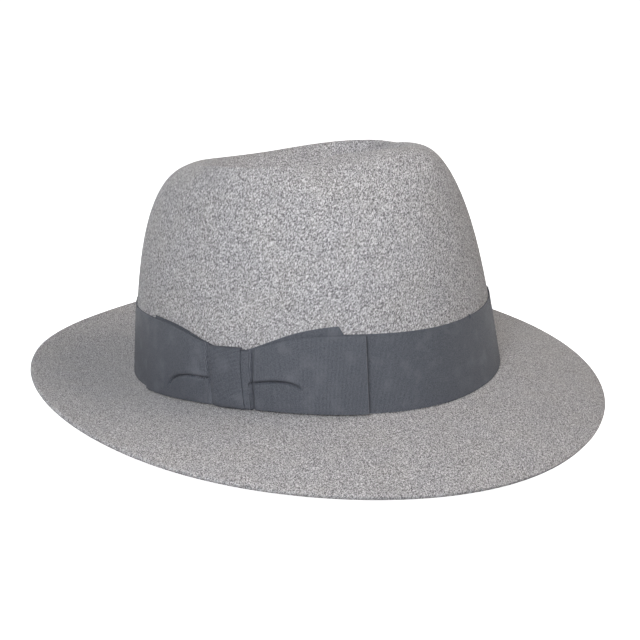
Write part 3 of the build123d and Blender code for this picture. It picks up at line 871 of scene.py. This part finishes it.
def small_knot():
    """The knot of the small bow: a narrow ribbon wound over the two loops' inner ends."""
    turn = np.radians(np.linspace(-100, 100, 25))[None, :]
    across = np.linspace(-1, 1, 9)[:, None]
    rise = BACK_BOW_MIDDLE + 2.7 * MM * np.sin(turn)
    base = LEATHER_AT + LEATHER / 2 + 2 * GAP + 2 * TAPE + 0.6 * MM
    inset = base + 2.6 * MM * np.cos(turn) * (1 - 0.2 * across ** 4)
    angle = np.pi + across * 2.1 * MM / CROWN_HALF_LENGTH
    return thick_sheet("back_bow_wrap", on_wall(angle, rise, inset), BACK_BOW_CLOTH)


sweat_leather = finish_piece(sweatband_leather(), "sweatband", leather)
reed = inside_ring("reed_core", REED_RISE, REED_AT, REED_RADIUS)
finish_piece(reed, "sweatband_reed", reed_stuff)
finish_piece(sweatband_stitches(), "sweatband_stitching", tan_thread)
finish_piece(foot_tape(), "sweatband_tape", cotton_tape)
finish_piece(back_seam(), "back_seam_tape", trim)
finish_piece(small_loop("back_bow_left_loop", 1), "back_bow", trim)
finish_piece(small_loop("back_bow_right_loop", -1), None, trim)
finish_piece(small_knot(), "back_bow_knot", trim)


# ---- Lining ----
def lining_wall():
    """The side of the lining, gathered in soft pleats where the sweatband doesn't hold it flat."""
    angle = round_angles()
    foot_step = step_at(angle, LINING_FOOT)
    share = np.linspace(0, 1, 40)[:, None]
    step = foot_step + (SEAM_AT - 0.02 - foot_step) * share
    loose = smooth((share - 0.3) / 0.3) * (1 - 0.7 * smooth((share - 0.8) / 0.2))
    pleats = 0.5 + 0.5 * np.sin(36 * angle + 1.5 * np.sin(5 * angle) + 0.8 * share)
    inset = LINING_AT + 1.1 * MM * loose * pleats ** 1.5
    radius, height = crown_point(angle, step, inset)
    return thick_sheet("lining_wall", in_space(angle, (radius, height)), LINING, closed_round=True)


def lining_dome():
    """The tip of the lining, a shallow dish under the dent with small gathers along its seam."""
    angle = round_angles()
    share = np.linspace(0, 1, 36)[:-1, None]
    seam_radius, seam_height = crown_point(angle, SEAM_AT + 0.03, FELT + 2 * GAP)
    hang = 1 - (1 - share) ** 4
    radius = seam_radius * (1 - share)
    height = seam_height + (TIP_MIDDLE - seam_height) * hang
    gathers = 0.35 * MM * np.exp(-share / 0.12) * (1 + np.sin(60 * angle)) * smooth(share / 0.04)
    outer = in_space(angle, (radius, height - gathers))
    inner = in_space(angle, (radius, height - gathers - LINING))
    middle = np.array([0, CROWN_BACK, TIP_MIDDLE])
    return shell_piece("lining_dome", outer, inner, middle, middle - np.array([0, 0, LINING]))


def seam_piping():
    """Twisted cord over the lining's seam."""
    columns = 1440
    angle = (np.arange(columns) * 2 * np.pi / columns)[None, :]
    turn = (np.arange(12) * 2 * np.pi / 12)[:, None]
    size = 0.9 * PIPING_RADIUS * (1 + 0.14 * np.cos(2 * turn + 180 * angle))
    inset = FELT + 2 * GAP + LINING + PIPING_RADIUS
    radius, height = crown_point(angle, SEAM_AT, inset)
    ring = in_space(angle, (radius + size * np.cos(turn), height + size * np.sin(turn)))
    return ring_piece("seam_piping", ring)


side_lining = finish_piece(lining_wall(), "lining_side", satin)
tip_lining = finish_piece(lining_dome(), "lining_tip", satin)
finish_piece(seam_piping(), "lining_piping", piping_cord)


# ---- Camera ----
def direction_from(azimuth, elevation):
    """Unit vector towards a place at this azimuth from the front and this elevation."""
    level_part = np.cos(elevation)
    return Vector((np.sin(azimuth) * level_part, -np.cos(azimuth) * level_part, np.sin(elevation)))


def place_camera(aim, azimuth, elevation, distance, turns, lens):
    """Looks at a point, then turns by small angles about its own Y, X and Z."""
    back = direction_from(azimuth, elevation)
    right = Vector((0, 0, 1)).cross(back).normalized()
    up = back.cross(right)
    basis = Matrix((right, up, back)).transposed()
    for axis, turn in zip("YXZ", turns):
        basis = basis @ Matrix.Rotation(turn, 3, axis)
    data = bpy.data.cameras.new("camera")
    data.sensor_width = 36
    data.lens = lens
    data.clip_start = 0.01
    camera = bpy.data.objects.new("camera", data)
    camera.matrix_world = Matrix.Translation(Vector(aim) + back * distance) @ basis.to_4x4()
    bpy.context.scene.collection.objects.link(camera)
    bpy.context.scene.camera = camera


place_camera(
    aim=(0, CROWN_BACK, 0.05), azimuth=radians(-52.6), elevation=radians(16.8), distance=0.5515,
    turns=(radians(-0.43), radians(-1.59), radians(-0.07)), lens=56.1,
)


# ---- Floor and lights ----
def area_light(name, azimuth, elevation, distance, size, power, colour):
    direction = direction_from(azimuth, elevation)
    data = bpy.data.lights.new(name, "AREA")
    data.shape = "DISK"
    data.size = size
    data.energy = power
    data.color = colour
    light = bpy.data.objects.new(name, data)
    light.location = direction * distance
    light.rotation_mode = "QUATERNION"
    light.rotation_quaternion = direction.to_track_quat("Z", "Y")
    bpy.context.scene.collection.objects.link(light)


def table():
    corners = [(-1, -1), (1, -1), (1, 1), (-1, 1)]
    return new_object("floor", [(x * TABLE_HALF, y * TABLE_HALF, 0) for x, y in corners], [(0, 1, 2, 3)])


def round_wall():
    """A wall all round the table, behind the hat from any side."""
    turns = np.arange(WALL_SIDES) * 2 * np.pi / WALL_SIDES
    across, along = WALL_RADIUS * np.sin(turns), WALL_RADIUS * np.cos(turns)
    rims = np.stack([
        np.stack([across, along, np.full(WALL_SIDES, height)], axis=-1) for height in (0, WALL_HEIGHT)
    ])
    faces = grid_faces(2, WALL_SIDES, closed_round=True)
    return new_object("backdrop", rims.reshape(-1, 3), faces)


TABLE_HALF = 20
WALL_RADIUS = 18
WALL_HEIGHT = 12
WALL_SIDES = 48

floor = table()
floor.data.materials.append(floor_material())
floor.visible_diffuse = False      # the pale floor and backdrop don't light the hat

backdrop = round_wall()
backdrop.data.materials.append(floor.data.materials[0])
backdrop.visible_diffuse = False
backdrop.visible_shadow = False


def studio_world():
    """A dim glow that fades upwards from the horizon and is stronger below it, as if off the table."""
    world = bpy.data.worlds.new("studio")
    world.use_nodes = True
    tree = world.node_tree
    view = shader_node(tree, "TexCoord").outputs["Generated"]
    height = shader_node(tree, "SeparateXYZ", {"Vector": view}).outputs["Z"]
    background = tree.nodes["Background"]
    background.inputs["Color"].default_value = (1, 1, 1, 1)
    above = level(tree, height, 0.12, 0.4, 0.12, 0.04)
    below = level(tree, height, -0.05, -0.02, 1.5, 1.0)
    join(tree, calculate(tree, "MULTIPLY", above, below), background.inputs["Strength"])
    return world


area_light("key", radians(-64), radians(32), 1.2, 0.7, 14, (0.93, 0.96, 1.0))
area_light("fill", radians(50), radians(52), 1.6, 0.9, 7, (1.0, 0.9, 0.8))
area_light("back", radians(160), radians(25), 1.6, 0.9, 4, (1.0, 1.0, 1.0))
bpy.context.scene.world = studio_world()
bpy.context.scene.view_settings.view_transform = "Standard"
